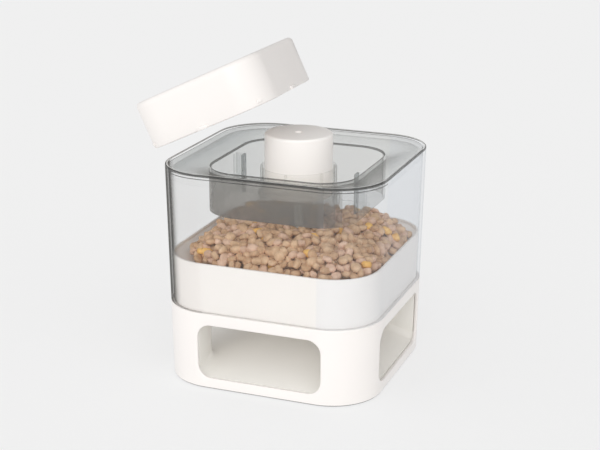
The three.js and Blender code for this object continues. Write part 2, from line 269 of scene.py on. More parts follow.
def noise_node(tree, scale, detail):
    """Noise fixed to the piece; scale counts its blotches per metre."""
    texture = tree.nodes.new("ShaderNodeTexNoise")
    texture.inputs["Scale"].default_value = scale
    texture.inputs["Detail"].default_value = detail
    coordinates = tree.nodes.new("ShaderNodeTexCoord")
    tree.links.new(coordinates.outputs["Object"], texture.inputs["Vector"])
    return texture.outputs["Fac"]


def ramp(tree, source, low, high, start=0.0, end=1.0):
    """Maps a 0 to 1 value onto the span between two colours or two numbers."""
    if isinstance(low, tuple):
        node = tree.nodes.new("ShaderNodeValToRGB")
        node.color_ramp.elements[0].position = start
        node.color_ramp.elements[1].position = end
        node.color_ramp.elements[0].color = (*low, 1)
        node.color_ramp.elements[1].color = (*high, 1)
        tree.links.new(source, node.inputs[0])
        return node.outputs[0]
    node = tree.nodes.new("ShaderNodeMapRange")
    node.inputs["From Min"].default_value = start
    node.inputs["From Max"].default_value = end
    node.inputs["To Min"].default_value = low
    node.inputs["To Max"].default_value = high
    tree.links.new(source, node.inputs["Value"])
    return node.outputs[0]


def bump(tree, shader, source, strength, distance):
    """Roughens the shader's normal; distance is the depth in metres."""
    node = tree.nodes.new("ShaderNodeBump")
    node.inputs["Strength"].default_value = strength
    node.inputs["Distance"].default_value = distance
    tree.links.new(source, node.inputs["Height"])
    tree.links.new(node.outputs[0], shader.inputs["Normal"])


def moulded_plastic(name, colour, roughness, coat=0.0, grain=900):
    """Smooth moulded ABS: faint cloudiness, a fine satin grain and slight flow unevenness."""
    material, tree, shader, _ = new_material(name)
    shade = tuple(c * 0.965 for c in colour)
    tree.links.new(ramp(tree, noise_node(tree, 9, 4), shade, colour, 0.3, 0.7), shader.inputs["Base Color"])
    blotch = ramp(tree, noise_node(tree, 60, 5), roughness - 0.05, roughness + 0.06, 0.3, 0.7)
    tree.links.new(blotch, shader.inputs["Roughness"])
    shader.inputs["IOR"].default_value = 1.5
    shader.inputs["Coat Weight"].default_value = coat
    shader.inputs["Coat Roughness"].default_value = 0.12
    bump(tree, shader, noise_node(tree, grain, 2), 0.12, 0.00006)
    return material


def facing_away(tree, falloff):
    """0 where a surface faces the eye, rising to 1 where it is seen along itself."""
    facing = tree.nodes.new("ShaderNodeLayerWeight")
    facing.inputs["Blend"].default_value = 0.5
    power = tree.nodes.new("ShaderNodeMath")
    power.operation = "POWER"
    power.inputs[1].default_value = falloff
    tree.links.new(facing.outputs["Facing"], power.inputs[0])
    return power.outputs[0]


def blend_colour(tree, factor, first, second):
    """Mixes two colours, each a tuple or a socket, by a 0 to 1 value."""
    node = tree.nodes.new("ShaderNodeMix")
    node.data_type = "RGBA"
    tree.links.new(factor, node.inputs[0])
    for socket, colour in ((node.inputs[6], first), (node.inputs[7], second)):
        if isinstance(colour, tuple):
            socket.default_value = (*colour, 1)
        else:
            tree.links.new(colour, socket)
    return node.outputs[2]


def along_axis(tree, axis, low, high):
    """0 below one position along an axis of the feeder and 1 above another, in metres."""
    place = tree.nodes.new("ShaderNodeTexCoord")
    split = tree.nodes.new("ShaderNodeSeparateXYZ")
    tree.links.new(place.outputs["Object"], split.inputs[0])
    return ramp(tree, split.outputs[axis], 0, 1, low, high)


def clear_plastic(name, tint, deep, edge, share, span=(0, 0.6), behind=None, shade=None):
    """Clear polystyrene: light goes straight through, dimmed to deep where it is seen along its wall.
    Span is where that dimming starts and ends. A share of the surface, given face on and edge on, is
    glossy and coloured edge. Behind is the tint for light that crosses from behind, and shade is painted
    shade: a second tint with the axis and the two positions over which it gives way to the first."""
    material, tree, shader, output = new_material(name)
    shader.inputs["Base Color"].default_value = (*edge, 1)
    shader.inputs["IOR"].default_value = 1.5
    haze = ramp(tree, noise_node(tree, 40, 4), 0.03, 0.08, 0.3, 0.7)
    tree.links.new(haze, shader.inputs["Roughness"])
    bump(tree, shader, noise_node(tree, 14, 2), 0.12, 0.0004)
    turned = facing_away(tree, 4.5)
    glossy = ramp(tree, turned, *share)
    if shade:
        colour, axis, low, high = shade
        tint = blend_colour(tree, along_axis(tree, axis, low, high), colour, tint)
    if behind:
        side = tree.nodes.new("ShaderNodeNewGeometry")
        tint = blend_colour(tree, side.outputs["Backfacing"], tint, behind)
        outer_only = tree.nodes.new("ShaderNodeMath")
        outer_only.operation = "MULTIPLY"
        tree.links.new(glossy, outer_only.inputs[0])
        tree.links.new(ramp(tree, side.outputs["Backfacing"], 1, 0.1), outer_only.inputs[1])
        glossy = outer_only.outputs[0]
    through = tree.nodes.new("ShaderNodeBsdfTransparent")
    dimmed = blend_colour(tree, ramp(tree, turned, 0, 1, *span), tint, deep)
    tree.links.new(dimmed, through.inputs["Color"])
    mix = tree.nodes.new("ShaderNodeMixShader")
    tree.links.new(glossy, mix.inputs[0])
    tree.links.new(through.outputs[0], mix.inputs[1])
    tree.links.new(shader.outputs[0], mix.inputs[2])
    tree.links.new(mix.outputs[0], output.inputs["Surface"])
    return material


def metal(name, colour, roughness):
    """Drawn steel: dull patches and a fine grain."""
    material, tree, shader, _ = new_material(name)
    shader.inputs["Metallic"].default_value = 1
    tree.links.new(
        ramp(tree, noise_node(tree, 300, 3), tuple(c * 0.85 for c in colour), colour, 0.3, 0.7),
        shader.inputs["Base Color"],
    )
    worn = ramp(tree, noise_node(tree, 700, 4), roughness - 0.08, roughness + 0.12, 0.3, 0.7)
    tree.links.new(worn, shader.inputs["Roughness"])
    bump(tree, shader, noise_node(tree, 1500, 2), 0.2, 0.00003)
    return material


def silicone(name, colour):
    """Matt rubber with a dusty surface."""
    material, tree, shader, _ = new_material(name)
    tree.links.new(
        ramp(tree, noise_node(tree, 120, 4), tuple(c * 0.85 for c in colour), colour, 0.3, 0.7),
        shader.inputs["Base Color"],
    )
    tree.links.new(ramp(tree, noise_node(tree, 500, 3), 0.6, 0.8, 0.3, 0.7), shader.inputs["Roughness"])
    bump(tree, shader, noise_node(tree, 2200, 2), 0.35, 0.00008)
    return material


def kibble_skin(name, dark, light):
    """Baked dry food: browned skin with pits, pores and crumbs."""
    material, tree, shader, _ = new_material(name)
    browned = ramp(tree, noise_node(tree, 170, 6), dark, light, 0.32, 0.68)
    tree.links.new(browned, shader.inputs["Base Color"])
    tree.links.new(ramp(tree, noise_node(tree, 420, 4), 0.6, 0.85, 0.3, 0.7), shader.inputs["Roughness"])
    shader.inputs["Specular IOR Level"].default_value = 0.35
    bump(tree, shader, noise_node(tree, 900, 6), 0.55, 0.0005)
    return material


WHITE = moulded_plastic("white_abs", (0.905, 0.868, 0.842), 0.36, 0.15)
BUTTON_WHITE = moulded_plastic("button_abs", (0.97, 0.935, 0.905), 0.34, 0.15)
TRAY_WHITE = moulded_plastic("tray_abs", (0.91, 0.89, 0.845), 0.42)
# A dark colour for the base's lower rounding: a painted contact shadow where the base meets the floor.
PAINTED_FOOT_SHADOW = moulded_plastic("painted_foot_shadow", (0.26, 0.255, 0.25), 0.6)
FLOOR_WHITE = moulded_plastic("floor_abs", (0.96, 0.92, 0.885), 0.38)
CLEAR_WALL = clear_plastic(
    "clear_wall", (0.978, 0.98, 0.98), (0.50, 0.50, 0.49), (0.6, 0.6, 0.6), (0.03, 0.3), (0.17, 0.6)
)
# A darker copy of the clear wall for its front left corner: painted shade, a broad dark band along that edge.
CLEAR_WALL_PAINTED_SHADE = clear_plastic(
    "clear_wall_painted_shade", (0.98, 0.98, 0.98), (0.27, 0.265, 0.25), (0.4, 0.4, 0.4), (0.03, 0.3), (0.04, 0.36)
)
# A lighter copy of the clear wall for its right side and right corners: painted light on the side the light
# comes from.
CLEAR_WALL_PAINTED_LIGHT = clear_plastic(
    "clear_wall_painted_light", (0.955, 0.962, 0.97), (0.83, 0.85, 0.87), (0.82, 0.83, 0.85), (0.03, 0.3), (0.3, 1)
)
# The throat's tint, with a darker tint on its left part: painted shade that gives way to the plain tint
# towards the middle.
CLEAR_THROAT = clear_plastic(
    "clear_throat", (0.90, 0.905, 0.90), (0.45, 0.45, 0.44), (0.55, 0.54, 0.53), (0.04, 0.3), (0.22, 0.8),
    shade=((0.80, 0.815, 0.815), "X", -0.085, -0.045),
)


def skirt_shade_plastic(strength):
    """The well's skirt: painted shade on its outer faces, darker towards its foot, and clear where it is seen
    from inside.
    """
    top, foot, deep = (
        tuple(0.95 + (shade - 0.95) * strength for shade in colour)
        for colour in ((0.58, 0.565, 0.545), (0.36, 0.335, 0.31), (0.36, 0.35, 0.34))
    )
    return clear_plastic(
        f"clear_skirt_shade_{round(10 * strength)}", top, deep, (0.22, 0.21, 0.195),
        (0.5 * strength, 0.3 + 0.3 * strength), (0.1, 0.7),
        behind=(0.94, 0.94, 0.935), shade=(foot, "Z", 0.150, 0.180),
    )


# The skirt's painted shade thins towards the right flank. Each step starts where a face turns this far right.
SKIRT_SHADE_STEPS = ((-2, 1), (0.35, 0.7), (0.6, 0.4), (0.8, 0.1))
SKIRT_SHADES = [(turned_right, skirt_shade_plastic(strength)) for turned_right, strength in SKIRT_SHADE_STEPS]
CLEAR_FAINT = clear_plastic(
    "clear_faint", (0.99, 0.99, 0.99), (0.8, 0.8, 0.79), (0.5, 0.5, 0.5), (0.0, 0.15), (0.3, 1)
)
CLEAR_STOP = clear_plastic(
    "clear_stop", (0.96, 0.965, 0.965), (0.7, 0.7, 0.69), (0.5, 0.5, 0.5), (0.03, 0.3), (0.2, 0.8)
)
# A darker tint for the uprights' end walls: painted shade, the dark lines that their ends show.
CLEAR_STOP_END_SHADE = clear_plastic(
    "clear_stop_end_shade", (0.78, 0.79, 0.79), (0.5, 0.5, 0.49), (0.4, 0.4, 0.4), (0.08, 0.3), (0.2, 0.8)
)
CLEAR_TUBE = clear_plastic(
    "clear_tube", (0.98, 0.98, 0.975), (0.62, 0.62, 0.61), (0.7, 0.7, 0.7), (0.02, 0.3), (0.1, 0.8)
)
# A dark grey for the rounded edges of the clear pieces: painted shade along edges that look dark in the
# plastic.
CLEAR_EDGE_SHADE = clear_plastic(
    "clear_edge_shade", (0.42, 0.42, 0.41), (0.25, 0.25, 0.24), (0.10, 0.10, 0.10), (0.35, 0.6)
)
# A pale, half opaque colour for the top of the rim: a painted highlight where the rim faces up.
CLEAR_CREST_HIGHLIGHT = clear_plastic(
    "clear_crest_highlight", (0.95, 0.95, 0.95), (0.8, 0.8, 0.8), (0.92, 0.92, 0.90), (0.5, 0.6)
)
STEEL = metal("spring_steel", (0.62, 0.63, 0.64), 0.28)
SILICONE = silicone("grey_silicone", (0.16, 0.165, 0.17))
NYLON = moulded_plastic("natural_nylon", (0.78, 0.77, 0.72), 0.5, 0.0, 500)
KIBBLES = [
    kibble_skin("kibble_tan", (0.53, 0.335, 0.195), (0.76, 0.525, 0.34)),
    kibble_skin("kibble_brown", (0.47, 0.28, 0.155), (0.69, 0.455, 0.285)),
    kibble_skin("kibble_rosy", (0.58, 0.37, 0.255), (0.81, 0.565, 0.42)),
    kibble_skin("kibble_yellow", (0.80, 0.43, 0.10), (0.95, 0.61, 0.21)),
]


# ---------------------------------------------------------------- base
def window_cutter(turned):
    """A block with a window's outline that crosses one side of the base."""
    half, low, high, radius = (WINDOW[key] for key in ("half", "low", "high", "radius"))
    outline, steps = [], 12
    for quadrant, (sx, sz) in enumerate(((1, 1), (-1, 1), (-1, -1), (1, -1))):
        for step in range(steps + 1):
            angle = math.pi / 2 * (quadrant + step / steps)
            x = sx * (half - radius) + radius * math.cos(angle)
            z = (low + high) / 2 + sz * ((high - low) / 2 - radius) + radius * math.sin(angle)
            outline.append((x, z))
    count = len(outline)
    near = [(x, -HALF - 10, z) for x, z in outline]
    far = [(x, -HALF + 12, z) for x, z in outline]
    faces = [tuple(range(count)), tuple(range(count, 2 * count))[::-1]]
    faces += [(i, i + count, (i + 1) % count + count, (i + 1) % count) for i in range(count)]
    cutter = add_mesh("window_cutter", near + far, faces)
    cutter.data.transform(Matrix.Rotation(math.radians(turned), 4, "Z"))
    return tidy(cutter)


def base_shell():
    """The white shell: rounded foot and shoulder, a deck with a hole, and a window in each side."""
    foot, shoulder = 1.8, 0.9
    outer = arc(-foot, foot, foot, -90, 0)
    outer += arc(-shoulder, BASE_TOP - shoulder, shoulder, 0, 90)
    sections = around(outer)
    sections += [(NECK + 4.5, NECK + 3.5, BASE_TOP), (NECK + 4.5, NECK + 3.5, BASE_TOP - SHELL)]
    sections += around([(-SHELL, BASE_TOP - SHELL), (-SHELL, 0)])
    shell = tidy(loft("base_shell_moulding", sections))
    for turned in (0, 90, 180, 270):
        cut(shell, window_cutter(turned))
    rounding = shell.modifiers.new("rounding", "BEVEL")
    rounding.width = 1.1 * MM
    rounding.segments = 4
    rounding.limit_method = "ANGLE"
    rounding.angle_limit = math.radians(50)
    rounding.use_clamp_overlap = False
    apply_modifiers(shell)
    return tidy(shell, 40)


def floor_height(x, y):
    """Top of the tray's floor: a soft-cornered pyramid that starts at the windows' lower edges."""
    peak, power, blunt, lift = 37, 5, 9, 1.5
    reach = half_at(WINDOW["low"]) - SHELL
    rise = (peak - WINDOW["low"]) / reach
    distance = (abs(x) ** power + abs(y) ** power) ** (1 / power)
    softened = math.sqrt(distance ** 2 + blunt ** 2) - lift
    return WINDOW["low"] + rise * max(reach - softened, 0)


def chamber_gap(x, y):
    """Signed distance from a point to the walls of the cross-shaped chamber, inside positive."""
    centre = WINDOW["half"] + PILLAR_RADIUS
    return math.hypot(max(centre - abs(x), 0), max(centre - abs(y), 0)) - PILLAR_RADIUS


def tray_floor():
    """The tray's floor as a thick sheet on a square grid, with a fillet along the pillars."""
    fillet, tucked, thickness, steps = 7, 2.0, 2.0, 150
    reach = half_at(WINDOW["low"]) - SHELL - 0.1
    step = 2 * reach / steps
    tops, index, faces = [], {}, []
    for i in range(steps + 1):
        for j in range(steps + 1):
            x, y = -reach + i * step, -reach + j * step
            gap = chamber_gap(x, y)
            if gap < -tucked:
                continue
            z = floor_height(x, y)
            if gap < fillet:
                inner = fillet - max(gap, 0)
                z += fillet - math.sqrt(max(fillet ** 2 - inner ** 2, 0))
            index[i, j] = len(tops)
            tops.append((x, y, z))
    count = len(tops)
    vertices = tops + [(x, y, z - thickness) for x, y, z in tops]
    for i, j in index:
        square = [(i, j), (i + 1, j), (i + 1, j + 1), (i, j + 1)]
        if all(key in index for key in square):
            ids = [index[key] for key in square]
            faces.append(tuple(ids))
            faces.append(tuple(k + count for k in reversed(ids)))
    top_faces = [face for face in faces if face[0] < count]
    edges = dict.fromkeys(edge for face in top_faces for edge in zip(face, face[1:] + face[:1]))
    for a, b in edges:
        if (b, a) not in edges:
            faces.append((b, a, a + count, b + count))
    return tidy(add_mesh("tray_floor_sheet", vertices, faces), 50)


def pillar_outline(z):
    """Plan of one corner pillar's skin at a height. Its ends stop just short of the outer shell."""
    near = WINDOW["half"]
    far = near + PILLAR_SKIN
    fit = SHELL + 0.15
    centre = half_at(z) - CORNER
    run = min(half_at(z) - fit, centre + math.sqrt((CORNER - fit) ** 2 - (far - centre) ** 2))
    middle = near + PILLAR_RADIUS

    def rounded(radius):
        turns = np.radians(np.linspace(270, 180, 13))
        return [(middle + radius * math.cos(a), middle + radius * math.sin(a)) for a in turns]

    inner = [(run, near), *rounded(PILLAR_RADIUS), (near, run)]
    outer = [(run, far), *rounded(PILLAR_RADIUS - PILLAR_SKIN), (far, run)]
    return inner, outer


def tray_wall(sx, sy):
    """The skin of one corner pillar, from the plate to the deck."""
    vertices = []
    for z in (tray_low.z, tray_high.z):
        inner, outer = pillar_outline(z)
        vertices += [(sx * x, sy * y, z) for x, y in inner + outer[::-1]]
    row = len(inner)
    count = 2 * row
    faces = [(i, (i + 1) % count, (i + 1) % count + count, i + count) for i in range(count)]
    for i in range(row - 1):
        a, b, c, d = i, i + 1, count - 2 - i, count - 1 - i
        faces += [(a, b, c, d), (a + count, b + count, c + count, d + count)]
    return tidy(add_mesh("tray_pillar_skin", vertices, faces), 40)


def feeding_tray():
    """The tray's floor and its four corner pillars as one moulding."""
    walls = [tray_wall(sx, sy) for sx in (1, -1) for sy in (1, -1)]
    tray = join(tray_floor(), walls)
    tray.name = "feeding_tray_moulding"
    return tidy(tray, 45)


# ---------------------------------------------------------------- hopper
def hopper_floor():
    """The white band behind the clear wall, the funnel inside it and the neck at its middle."""
    low, top, out, skin = BASE_TOP + 0.3, BAND_TOP, BAND_OUT, 2.4
    profile = [(out, low)] + arc(out - 0.8, top - 0.8, 0.8, 0, 90)
    profile += arc(out - 1.6, top - 0.6, 0.6, 90, 180)
    profile += [(-FUNNEL_INSET, FUNNEL_HIGH)]
    sections = around(profile)
    sections += [
        (NECK, NECK - 1, FUNNEL_LOW),
        (NECK, NECK - 1, NECK_LOW),
        (NECK + skin, NECK + skin - 1, NECK_LOW),
        (NECK + skin, NECK + skin - 1, FUNNEL_LOW - 1.4),
    ]
    sections += around([(out - skin, FUNNEL_HIGH - 2.9), (out - skin, low)])
    return tidy(loft("hopper_floor_moulding", sections), 40)


def hopper_wall():
    """The clear wall. Its outer face has a row of faces below the rim for the thin dark line painted there.
    """
    low = wall_low.z
    profile = [(0, z) for z in (low, RIM_LINE_LOW, RIM_LINE_HIGH, RIM_EDGE)]
    profile += arc(-1.3, RIM - 1.3, 1.3, 0, 90, 7)
    profile += arc(-CLEAR + 0.7, RIM - 0.7, 0.7, 90, 180, 4) + [(-CLEAR, low)]
    return tidy(loft("hopper_wall_moulding", around(profile)), 60)


def lid_stop(turned):
    """One hollow upright on the well's wall, made of its three free walls."""
    aside, half, sunk = 12, 4.1, 0.5
    y0, y1 = aside - half, aside + half
    wall, end = -WELL_HALF - sunk, -WELL_HALF + STOP_DEPTH
    spans = [
        (wall, end, y0, y0 + STOP_SKIN),
        (wall, end, y1 - STOP_SKIN, y1),
        (end - STOP_SKIN, end, y0, y1),
    ]
    return [bar("stop_wall", *span, throat_low.z, STOP_TOP, 0.25, turned) for span in spans]


def filler_throat():
    """The flange inside the wall, the sloping ledge, the well with its skirt, and the two stops."""
    seat = -(CLEAR + 0.3)
    high, skirt, edge, flange = throat_high.z, throat_low.z, WELL_EDGE, RIM - 10.8
    sections = around([(seat, flange)] + arc(seat - 0.6, high - 0.6, 0.6, 0, 90, 4))
    well = arc(1.7, edge - 1.3, 1.7, 100, 180, 6)
    well += [(0, skirt + 0.8), (0.8, skirt), (WELL_SKIN, skirt + 0.6)]
    well += [(WELL_SKIN, edge - 3), (WELL_SKIN + 1.2, edge - 1.8)]
    sections += around(well, WELL_HALF, WELL_CORNER)
    sections += around([(seat - 4, high - 2.4), (seat - 2, high - 3), (seat - 2, flange)])
    throat = tidy(loft("filler_throat_moulding", sections), 40)
    return tidy(join(throat, lid_stop(0) + lid_stop(180)), 40)


def guide_spider():
    """The hub and its four spokes."""
    low, high, bore, outer = spider_low.z, spider_high.z, 33.7, 35.8
    profile = [(bore, low + 0.3), (bore + 0.3, low)] + arc(outer, low + 0.4, 0.4, -90, 0, 2)
    profile += arc(outer, high - 0.4, 0.4, 0, 90, 2) + [(bore + 0.3, high), (bore, high - 0.3)]
    spokes = [
        bar("spoke", outer - 0.3, spider_high.x, -1.5, 1.5, low, high - 2, 0.4, turned)
        for turned in (0, 90, 180, 270)
    ]
    return tidy(join(turn("guide_spider_moulding", profile, 96), spokes), 40)


def guide_tube():
    """The cup around the button, with a collar that rests on the spider and six guide ribs."""
    outer, inner, bore = 33.4, 31.6, 4.6
    low, top, floor = tube_low.z, tube_high.z, 142.5
    collar, collar_low, collar_high = 35.4, 154, 155.6
    profile = [(bore, low)] + arc(outer - 0.8, low + 0.8, 0.8, -90, 0, 4)
    profile += [(outer, collar_low), (collar, collar_low), (collar, collar_high), (outer, collar_high)]
    profile += arc(outer - 0.7, top - 0.7, 0.7, 0, 90, 4) + arc(inner + 0.7, top - 0.7, 0.7, 90, 180, 4)
    profile += [(inner, floor), (bore, floor)]
    tube = turn("guide_tube_moulding", profile, 96)
    ribs = [
        bar("rib", inner - 1.2, inner + 0.3, -1.2, 1.2, floor - 0.3, top - 1, 0.3, 30 + 60 * i)
        for i in range(6)
    ]
    return tidy(join(tube, ribs), 40)


# ---------------------------------------------------------------- button and valve
def button_cap():
    """The button's cap: a dimple on top, a thin skirt, and a post that takes the rod."""
    radius, top, low = cap_high.x, cap_high.z, cap_low.z
    skin, roof, post, socket = 2.2, 3.3, 7.5, 4.3
    seat = rod_high.z
    post_low = seat - 14
    profile = [(0, top - 2), (2.6, top - 2), (3.1, top - 1.7), (3.3, top - 0.3), (3.6, top)]
    profile += arc(radius - 2.2, top - 2.2, 2.2, 90, 0, 7)
    profile += arc(radius - 0.4, low + 0.4, 0.4, 0, -90, 3)
    profile += [(radius - skin, low), (radius - skin, top - roof), (post, top - roof)]
    profile += [(post, post_low), (socket, post_low), (socket, seat + 0.3), (0, seat + 0.3)]
    return tidy(turn("button_cap_moulding", profile, 128), 40)


def plunger_rod():
    """The rod, with a threaded end for the nut below its shoulder."""
    low, top = rod_low.z, rod_high.z
    shoulder = plug_low.z + 0.3
    pitch, crest, root, radius = 1.3, 3, 2.6, 4
    profile = [(0, low), (2.4, low)]
    for thread in range(5):
        z = low + 0.7 + thread * pitch
        profile += [(crest, z), (root, z + pitch / 2)]
    profile += [(crest, shoulder), (radius, shoulder), (radius, top - 0.5), (3.5, top), (0, top)]
    return tidy(turn("plunger_rod_turned", profile, 48), 40)


def valve_plug():
    """The cone that closes the hopper's outlet, with a step for its seal."""
    radius, low, top = plug_high.x, plug_low.z, plug_high.z
    bore, hub, skirt, step = 4.3, 7.5, 25.8, 28.2
    profile = [(bore, low), (hub, low), (hub, top - 3.5), (hub + 2, top - 3.9), (skirt, low + 2.9)]
    profile += [(skirt, low)] + arc(radius - 0.5, low + 0.5, 0.5, -90, 0, 3)
    profile += [(radius, low + 2.3), (step, low + 2.3), (step, low + 4.5), (10, top - 1.5), (bore, top)]
    return tidy(turn("valve_plug_moulding", profile, 96), 40)


def valve_seal():
    """The ring that seals the plug against the neck."""
    low, top = seal_low.z, seal_high.z
    profile = [(28.6, low), (33.2, low), (33.1, low + 0.9), (32.6, top - 0.3), (32.2, top)]
    profile += [(29.6, top), (29.2, top - 0.3), (28.7, low + 0.9)]
    return tidy(turn("valve_seal_ring", profile, 96), 40)


def return_spring():
    """The coil, swept along a helix."""
    radius, wire, turns, steps_per_turn = 11.5, 0.9, 8, 36
    low, high = spring_low.z + wire, spring_high.z - wire
    curve = bpy.data.curves.new("return_spring_wire", "CURVE")
    curve.dimensions = "3D"
    curve.bevel_depth = wire * MM
    curve.bevel_resolution = 3
    curve.use_fill_caps = True
    spline = curve.splines.new("POLY")
    steps = turns * steps_per_turn
    spline.points.add(steps)
    for i in range(steps + 1):
        angle = 2 * math.pi * turns * i / steps
        z = low + (high - low) * i / steps
        point = Vector((radius * math.cos(angle), radius * math.sin(angle), z)) * MM
        spline.points[i].co = (*point, 1)
    coil = bpy.data.objects.new("return_spring_curve", curve)
    bpy.context.scene.collection.objects.link(coil)
    depsgraph = bpy.context.evaluated_depsgraph_get()
    mesh = bpy.data.meshes.new_from_object(coil.evaluated_get(depsgraph))
    bpy.data.objects.remove(coil)
    spring = bpy.data.objects.new("return_spring_coil", mesh)
    bpy.context.scene.collection.objects.link(spring)
    return tidy(spring, 60)


# ---------------------------------------------------------------- lid, about its lower edge
def on_lid(piece):
    """Moves a piece built about the lid's lower edge to the lifted and tilted lid."""
    place = Matrix.Translation(Vector(LID_MIDDLE) * MM)
    piece.data.transform(place @ Matrix.Rotation(-math.radians(LID_TILT), 4, "Y"))
    return piece


def lid_shell():
    """The lid: shell and lining, a boss for the press pad, webs under the roof, and tabs and lugs."""
    half, corner, height, skin = LID_HALF, LID_CORNER, LID_HEIGHT, LID_SKIN
    outside = arc(-skin / 2, 1.1, 1.1, -90, 0, 3) + arc(-4.6, height - 4.6, 4.6, 0, 84, 9)
    inside = arc(-4.6, height - 5.2, 2.6, 84, 0, 5) + [(-skin, 1)]
    outside, inside = around(outside, half, corner), around(inside, half, corner)
    roof_top = (half - 8, corner - 8, height)
    roof_low = (half - 8, corner - 8, height - 2.6)
    shell = loft("lid_shell_moulding", [*outside, roof_top], closed=False, caps=(False, True))
    lining = loft("lid_lining", [roof_low, *inside, outside[0]], closed=False, caps=(True, False))
    join(shell, [lining])
    weld = bmesh.new()
    weld.from_mesh(shell.data)
    bmesh.ops.remove_doubles(weld, verts=weld.verts, dist=1e-6)
    weld.to_mesh(shell.data)
    weld.free()
    roof, boss_low = height - 2.2, PAD_LOW + 2.5
    diagonal = (half - corner) * math.sqrt(2) + corner
    boss = [(10.2, boss_low), (12.4, boss_low), (12.4, roof), (10.2, roof)]
    parts = [tidy(turn("boss", boss), 40)]
    for turned in (0, 90, 180, 270):
        parts.append(bar("web", 12, half - 1.2, -0.8, 0.8, 32, roof, 0.2, turned))
        parts.append(bar("tab", half - 1, half + 1.1, -4.5, 4.5, 0.1, 3.2, 0.35, turned))
        parts.append(bar("lug", diagonal - 1, diagonal + 0.9, -2.6, 2.6, 2.4, 5.4, 0.4, turned + 45))
    return on_lid(tidy(join(tidy(shell, 40), parts), 40))


def press_pad():
    """The soft pad under the lid's roof, with a stem in the boss."""
    low = PAD_LOW
    profile = [(0, low)] + arc(12.7, low + 0.8, 0.8, -90, 0, 3) + arc(12.7, low + 1.4, 0.8, 0, 90, 3)
    profile += [(9.9, low + 2.2), (9.9, low + 8.6), (9.5, low + 9), (0, low + 9)]
    return on_lid(tidy(turn("lid_press_pad_moulding", profile, 64), 40))


# ---------------------------------------------------------------- dry food
def heap_profile():
    """Half width, corner radius, height and shift of loops of the heap's skin, from the rod outwards."""
    return [
        (6.5, 6.2, 130.6, 0), (30, 25, 132.6, 0), (50, 30, 131.6, 0), (68, 34, 128.6, 2),
        (76.5, 36, 121.6, 3), (82.5, 38, 113.6, 4), (HEAP_HALF, 38.4, 109.6, 4),
    ]


# Each kibble's outline: how many lobes it has, and how far they stand out. Then the share of each of
# KIBBLES, as the draw it stays below and its place in that list: yellow, brown, rosy and tan.
KIBBLE_LOBES = ((0, 0), (3, 0.17), (0, 0), (3, 0.13), (2, 0.14), (0, 0), (4, 0.06), (3, 0.2))
KIBBLE_SHARES = ((0.05, 3), (0.3, 1), (0.6, 2), (1, 0))


def kibble_variant(number):
    """One kibble of unit size: a pillow whose outline is round, oval or has three or four soft corners."""
    rng = random.Random(100 + number)
    work = bmesh.new()
    bmesh.ops.create_icosphere(work, subdivisions=2, radius=1)
    lobes, strength = KIBBLE_LOBES[number]
    flat = rng.uniform(0.52, 0.7)
    phase = [rng.uniform(0, 6.28) for _ in range(3)]
    points = []
    for vertex in work.verts:
        x, y, z = vertex.co
        angle = math.atan2(y, x)
        swell = 1 + strength * math.cos(lobes * angle) * math.hypot(x, y)
        crown = abs(z) ** 0.75 * math.copysign(1, z) * flat
        bumpy = 1 + 0.035 * math.sin(5 * x + phase[0]) + 0.035 * math.sin(6 * y + phase[1])
        bumpy += 0.03 * math.sin(7 * z + phase[2])
        side = max(math.hypot(x, y), 1e-6)
        wide = side ** 0.8 / side
        points.append((x * wide * swell * bumpy, y * wide * swell * bumpy, crown * bumpy))
    faces = [tuple(v.index for v in face.verts) for face in work.faces]
    work.free()
    return np.array(points), faces


def heap_top(half):
    """Height of the heap's skin where its rounded-square loop has this half width."""
    halves, _, heights, _ = zip(*heap_profile())
    return float(np.interp(half, halves, heights))


def loop_half(x, y):
    """Half width of the heap's loop that passes through a point, found by halving."""
    low, high = 0.0, 140.0
    halves, corners, _, shifts = zip(*heap_profile())
    for _ in range(22):
        middle = (low + high) / 2
        corner = float(np.interp(middle, halves, corners))
        aside = float(np.interp(middle, halves, shifts))
        if from_square(Vector((x - aside, y + aside / 2, 0)), middle, min(corner, middle)) > 0:
            low = middle
        else:
            high = middle
    return (low + high) / 2


def funnel_top(half):
    """Height of the funnel's upper face where its loop has this half width."""
    run = (half - NECK) / (half_at(FUNNEL_HIGH) - FUNNEL_INSET - NECK)
    return FUNNEL_LOW + (FUNNEL_HIGH - FUNNEL_LOW) * run


def kibble_places():
    """Jittered close packing, kept where the heap's skin is near and the rod and the funnel are not."""
    spacing, layers, bottom, jitter = 7.4, 9, 92, 1.5
    rod_room, funnel_room, sunk, deepest = 11, 3.2, 4.2, 15
    rng = random.Random(7)
    places = []
    rows = int(200 / spacing)
    for layer in range(layers):
        z = bottom + layer * spacing * 0.78
        for i in range(-rows, rows + 1):
            for j in range(-rows, rows + 1):
                shift = (layer % 2) * 0.5
                x = (i + 0.5 * (j % 2) + shift) * spacing + rng.uniform(-jitter, jitter)
                y = (j + shift * 0.7) * spacing * 0.87 + rng.uniform(-jitter, jitter)
                dz = rng.uniform(-1.8, 1.8)
                half = loop_half(x, y)
                if half > HEAP_HALF or math.hypot(x, y) < rod_room:
                    continue
                deep = heap_top(half) - sunk - (z + dz)
                clear_of_funnel = z + dz - funnel_top(half) > funnel_room
                if 0 <= deep < deepest and clear_of_funnel:
                    places.append((x, y, z + dz))
    return places


